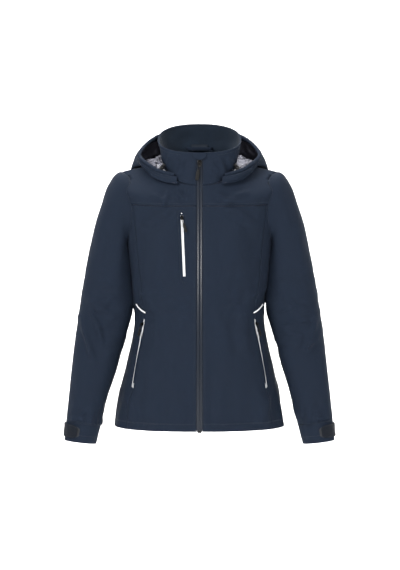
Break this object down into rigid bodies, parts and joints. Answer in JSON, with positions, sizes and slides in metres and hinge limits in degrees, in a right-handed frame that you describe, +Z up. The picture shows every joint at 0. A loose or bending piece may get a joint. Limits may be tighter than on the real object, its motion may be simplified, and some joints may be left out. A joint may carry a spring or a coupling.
{
  "type": "foul weather jacket",
  "caption": "Hooded foul weather jacket for sailing with a full-length front zip, zipped chest and hand pockets, cuff tabs and a stand-up collar.",
  "frame": {"origin": "centre of the neck opening, level with the neck points of the shoulder seams", "axes": "+Z up along the body, the front zip faces -Y, +X towards the wearer's left sleeve"},
  "size_m": [0.6704, 0.2796, 0.778],
  "materials": {
    "shell": "matte, fine plain weave",
    "brushed_lining": "soft brushed knit",
    "lining": "thin and slightly shiny",
    "zip_tape": "smooth film over woven tape",
    "zip_coil": "plain",
    "reflective_tape": "pale reflective film",
    "slider_metal": "satin",
    "pull_rubber": "matte",
    "hook_and_loop": "napped",
    "elastic_cord": "braided",
    "lock_plastic": "plain",
    "label": "woven, blank"
  },
  "bodies": {
    "jacket": {"back_panel": "shell", "back_yoke": "shell", "body_lining": "lining", "chest_pocket_bag": "lining", "chest_zip_tape": "reflective_tape", "collar_lining": "brushed_lining", "collar_outer": "shell", "front_panel_left": "shell", "front_panel_right": "shell", "front_yoke_left": "shell", "front_yoke_right": "shell", "hand_pocket_bag_left": "lining", "hand_pocket_bag_right": "lining", "hand_zip_tape_left": "reflective_tape", "hand_zip_tape_right": "reflective_tape", "hanger_loop": "shell", "hem_drawcord": "elastic_cord", "hem_facing": "shell", "hood_cord_left": "elastic_cord", "hood_cord_right": "elastic_cord", "hood_lining": "lining", "hood_lock_left": "lock_plastic", "hood_lock_right": "lock_plastic", "hood_rim": "shell", "hood_shell": "shell", "main_zip_box": "slider_metal", "main_zip_coil_left": "zip_coil", "main_zip_coil_right": "zip_coil", "main_zip_tape_left": "zip_tape", "main_zip_tape_right": "zip_tape", "neck_label": "label", "side_panel_left": "shell", "side_panel_right": "shell", "storm_flap": "shell", "waist_piping_left": "reflective_tape", "waist_piping_right": "reflective_tape", "zip_garage": "shell"},
    "sleeve_left": {"cuff_left": "shell", "loop_patch_left": "hook_and_loop", "sleeve_left": "shell", "sleeve_lining_left": "lining"},
    "sleeve_right": {"cuff_right": "shell", "loop_patch_right": "hook_and_loop", "sleeve_lining_right": "lining", "sleeve_right": "shell"},
    "chest_pull": {"chest_pull": "pull_rubber"},
    "chest_slider": {"chest_slider": "slider_metal"},
    "cuff_tab_left": {"cuff_tab_left": "shell"},
    "cuff_tab_right": {"cuff_tab_right": "shell"},
    "hand_left_pull": {"hand_left_pull": "pull_rubber"},
    "hand_left_slider": {"hand_left_slider": "slider_metal"},
    "hand_right_pull": {"hand_right_pull": "pull_rubber"},
    "hand_right_slider": {"hand_right_slider": "slider_metal"},
    "hood_button_left": {"hood_button_left": "lock_plastic"},
    "hood_button_right": {"hood_button_right": "lock_plastic"},
    "main_pull": {"main_pull": "pull_rubber"},
    "main_slider": {"main_slider": "slider_metal"}
  },
  "joints": [
    {"name": "main_zip_travel", "type": "hinge", "parent": "jacket", "child": "main_slider", "pos_m": [0, 2.0622, -0.46615], "axis": [1, 0, 0], "range_deg": [0, 16.71]},
    {"name": "main_pull_swing", "type": "hinge", "parent": "main_slider", "child": "main_pull", "pos_m": [0, -0.08858, 0.0037], "axis": [-1, 0, 0], "range_deg": [0, 100]},
    {"name": "chest_zip_travel", "type": "hinge", "parent": "jacket", "child": "chest_slider", "pos_m": [-0.03553, 0.84254, -0.31248], "axis": [0.999, 0, 0.044], "range_deg": [0, 8.31]},
    {"name": "chest_pull_swing", "type": "hinge", "parent": "chest_slider", "child": "chest_pull", "pos_m": [-0.0432, -0.11313, -0.1289], "axis": [-0.996, -0.0853, -0.0274], "range_deg": [0, 100]},
    {"name": "hand_left_zip_travel", "type": "hinge", "parent": "jacket", "child": "hand_left_slider", "pos_m": [-0.04662, -1.01728, -0.51681], "axis": [-0.9627, 0.2121, -0.1679], "range_deg": [0, 8.66]},
    {"name": "hand_left_pull_swing", "type": "hinge", "parent": "hand_left_slider", "child": "hand_left_pull", "pos_m": [0.14278, -0.08129, -0.39426], "axis": [-0.5346, -0.8258, -0.1796], "range_deg": [0, 100]},
    {"name": "hand_right_zip_travel", "type": "hinge", "parent": "jacket", "child": "hand_right_slider", "pos_m": [0.04662, -1.01728, -0.51681], "axis": [-0.9627, -0.2121, 0.1679], "range_deg": [0, 8.66]},
    {"name": "hand_right_pull_swing", "type": "hinge", "parent": "hand_right_slider", "child": "hand_right_pull", "pos_m": [-0.14278, -0.08129, -0.39426], "axis": [-0.5346, 0.8258, 0.1796], "range_deg": [0, 100]},
    {"name": "shoulder_left_raise", "type": "hinge", "parent": "jacket", "child": "sleeve_left", "pos_m": [0.199, 0, -0.025], "axis": [0, -1, 0], "range_deg": [0, 25]},
    {"name": "cuff_tab_left_peel", "type": "hinge", "parent": "sleeve_left", "child": "cuff_tab_left", "pos_m": [0.33029, -0.00916, -0.65884], "axis": [-0.0925, 0.0595, 0.9939], "range_deg": [0, 40]},
    {"name": "hood_button_left_press", "type": "slide", "parent": "jacket", "child": "hood_button_left", "axis": [0.4757, 0.2775, -0.8347], "range_m": [0, 0.004], "stiffness_N_per_m": 400},
    {"name": "shoulder_right_raise", "type": "hinge", "parent": "jacket", "child": "sleeve_right", "pos_m": [-0.199, 0, -0.025], "axis": [0, 1, 0], "range_deg": [0, 25]},
    {"name": "cuff_tab_right_peel", "type": "hinge", "parent": "sleeve_right", "child": "cuff_tab_right", "pos_m": [-0.33029, -0.00916, -0.65884], "axis": [-0.0925, -0.0595, -0.9939], "range_deg": [0, 40]},
    {"name": "hood_button_right_press", "type": "slide", "parent": "jacket", "child": "hood_button_right", "axis": [-0.4757, 0.2775, -0.8347], "range_m": [0, 0.004], "stiffness_N_per_m": 400}
  ]
}
